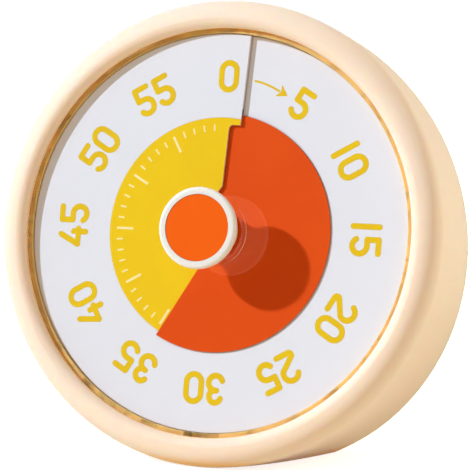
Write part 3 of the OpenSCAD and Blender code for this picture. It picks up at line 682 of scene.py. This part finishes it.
# %% [markdown]
# ## Ink with a thickness
# Paint on a surface could be a pattern in the dial's material, but a pattern has no edge to catch
# the light, and it blurs up close. A real screen print stands a few hundredths of a millimetre
# proud. Each outline becomes such a thin tile: a top that follows the dial, and a short skirt that
# goes down into it. Strokes that cross lie a hair apart, so no two tops share a plane.

# %% Print tiles
ink_top = 0.02
ink_skirt = 0.05
ink_step = 0.003
ink_levels = 4


def print_mesh(name, outlines, material, base=0.0):
    """A thin printed piece on the dial, made of one tile for each outline or ring."""
    points, faces = [], []

    def lifted(p, drop):
        return on_face(p.x, p.y, dial_height(p.x, p.y) + base + ink_top + drop)

    for i, shape in enumerate(outlines):
        loops = shape if isinstance(shape, tuple) else (shape,)
        starts = []
        for loop in loops:
            start, n = len(points), len(loop)
            starts.append(start)
            points += [lifted(p, ink_step * (i % ink_levels)) for p in loop]
            points += [lifted(p, -ink_skirt) for p in loop]
            faces += [(start + k, start + n + k, start + n + (k + 1) % n, start + (k + 1) % n)
                      for k in range(n)]
        if len(loops) == 1:
            faces.append(tuple(range(start, start + n)))
        else:
            outer, inner = starts
            faces += [(outer + k, outer + (k + 1) % n, inner + (k + 1) % n, inner + k)
                      for k in range(n)]
    mesh = bpy.data.meshes.new(name)
    mesh.from_pydata(points, [], faces)
    mesh.validate()
    mesh.materials.append(material)
    piece = bpy.data.objects.new(name, mesh)
    scene.collection.objects.link(piece)
    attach(piece, "case")
    print(name, "printed in", len(outlines), "tiles")
    return piece


# %% [markdown]
# ## The numerals
# Each numeral stands in a box 2.84 mm wide and 4.86 mm high, measured between the middles of its
# strokes. The 0 is two half circles joined by straight sides, the 1 a plain bar, and the 4 has its
# short upright low down across the bar. Two numerals stand side by side with their tops to the rim.

# %% Numeral shapes
pen = 1.04
half_w = 1.42
half_h = 2.43
two_foot_r = 0.5
three_upper_r = 1.1
three_lower_r = half_h - three_upper_r
three_waist = 0.25
four_top_x = 0.3
four_bar_y = -1.0
four_upright_x = 0.9
four_upright_top = -0.05
five_flag_x = 1.25
five_back_x = -1.15
five_bowl_r = 1.37

one = [[at(0, half_h), at(0, -half_h)]]
two = [arc(0, half_h - half_w, half_w, 158, -28)
       + arc(two_foot_r - half_w, two_foot_r - half_h, two_foot_r, 150, 270, 6)
       + [at(half_w, -half_h)]]
three = [arc(0, half_h - three_upper_r, three_upper_r, 165, -90)
         + [at(-three_waist, half_h - 2 * three_upper_r)],
         arc(0, three_lower_r - half_h, three_lower_r, 90, -160)]
four = [[at(four_top_x, half_h), at(-half_w, four_bar_y), at(half_w, four_bar_y)],
        [at(four_upright_x, four_upright_top), at(four_upright_x, -half_h)]]
five = [[at(five_flag_x, half_h), at(five_back_x, half_h), at(five_back_x, 2 * five_bowl_r - half_h)]
        + arc(0, five_bowl_r - half_h, five_bowl_r, 90, -150)]
numeral_paths = {"1": one, "2": two, "3": three, "4": four, "5": five}


def ring_of(half_width, half_height, width):
    """A stretched ring: two loops with as many points each."""
    def loop(grow):
        r, flat = half_width + grow, half_height - half_width
        return arc(0, flat, r, 0, 180, 20) + arc(0, -flat, r, 180, 360, 20)
    return loop(width / 2), loop(-width / 2)


def numeral(digit):
    """The outlines of one numeral about its own middle."""
    if digit == "0":
        return [ring_of(half_w, half_h, pen)]
    return [stroke_outline(path, pen) for path in numeral_paths[digit]]


def ink_half(digit):
    """Half the width that the ink of a numeral takes."""
    return pen / 2 if digit == "1" else half_w + pen / 2


print("a numeral is", round(2 * half_w + pen, 2), "by", round(2 * half_h + pen, 2), "mm with its ink")

# %% [markdown]
# Twelve numbers stand round the dial, one for each five minutes. A number is drawn upright about
# its own middle, and then carried out to the ring and turned with it. The 5 gives way a little to
# the arrow beside it, the 0 stands a little closer to the step, and some more sit a hair off the
# even spacing. A nudge goes clockwise and outwards, in millimetres.

# %% Numbers round the dial
minutes = 60
minute_turn = 360 / minutes
letter_gap = 0.26
room_after_one = 0.72
nudges = {0: at(0.28, 0.2), 5: at(0.45, -0.45), 10: at(0.24, -0.18), 20: at(0.4, -0.4),
          25: at(0.2, -0.11), 35: at(-0.37, -0.25), 40: at(-0.43, 0.07), 50: at(0.26, -0.2)}


def turned_to(minute, p):
    """A point drawn at the top of the dial, turned clockwise to a minute."""
    a = math.radians(minute * minute_turn)
    return at(p.x * math.cos(a) + p.y * math.sin(a), -p.x * math.sin(a) + p.y * math.cos(a))


def number_outlines(text, minute):
    """Outlines of a number of one or two digits at its place on the dial."""
    nudge = nudges.get(minute, at(0, 0))
    apart = 0.0
    if len(text) == 2:
        one_room = room_after_one if text[0] == "1" else 0.0
        apart = ink_half(text[0]) + one_room + letter_gap + ink_half(text[1])
    middle = (apart + ink_half(text[-1]) - ink_half(text[0])) / 2
    placed = []
    for i, digit in enumerate(text):
        shift = at(apart * i - middle, number_radius) + nudge
        for shape in numeral(digit):
            if isinstance(shape, tuple):
                placed.append(tuple([turned_to(minute, p + shift) for p in loop] for loop in shape))
            else:
                placed.append([turned_to(minute, p + shift) for p in shape])
    return placed


number_ink = plastic("number_ink", srgb(236, 196, 24), srgb(232, 190, 26), 200, 7000, 0.06,
                     print_gloss, Specular_IOR_Level=matt)
for minute in range(0, minutes, 5):
    outlines = number_outlines(str(minute), minute)
    print_mesh("number_%02d" % minute, outlines, number_ink)

# %% [markdown]
# ## Minute marks
# The yellow scale has a short pale mark for each minute and a longer one for each five, all ending
# on one circle. They are strokes with square ends, made by one loop. The 0 and minute 1 have none,
# because the slit for the disc takes their place. As on many printed labels, the print is not quite
# centred.

# %% Minute marks
label_top = 0.08
mark_centre = at(0.3, -0.12)
mark_outer = 19.6
minor_mark = (1.15, 0.3)
major_mark = (3.2, 0.44)
first_mark = 2


def mark(minute):
    """Outline of one minute mark."""
    length, width = major_mark if minute % 5 == 0 else minor_mark
    path = [mark_centre + turned_to(minute, at(0, r)) for r in (mark_outer, mark_outer - length)]
    return stroke_outline(path, width, round_ends=False)


mark_ink = plastic("mark_ink", srgb(255, 238, 168), srgb(253, 235, 160), 200, 7000, 0.04,
                   print_gloss, Specular_IOR_Level=matt)
marks = [mark(minute) for minute in range(first_mark, minutes)]
print_mesh("minute_marks", marks, mark_ink, label_top)

# %% [markdown]
# ## The arrow
# A thin arrow beside the step shows which way to wind. Its line follows the ring of numbers and
# sags inwards a little at its end, and its head is one barbed shape.

# %% Arrow
arrow_radius = 28.05
arrow_start = 1.74
arrow_end = 3.45
arrow_sag = 0.4
arrow_pen = 0.36
arrow_steps = 10
head_tip = at(1.80, -0.58)
head_outer_barb = at(0.05, 0.82)
head_notch = at(0.35, -0.38)
head_inner_barb = at(-0.35, -1.5)

arrow_line = [turned_to(arrow_start + (arrow_end - arrow_start) * i / arrow_steps,
                        at(0, arrow_radius - arrow_sag * (i / arrow_steps) ** 2))
              for i in range(arrow_steps + 1)]
arrow_head = [turned_to(arrow_end, at(0, arrow_radius) + corner)
              for corner in (head_tip, head_outer_barb, head_notch, head_inner_barb)]
arrow = [stroke_outline(arrow_line, arrow_pen), arrow_head]
print_mesh("set_arrow", arrow, number_ink)
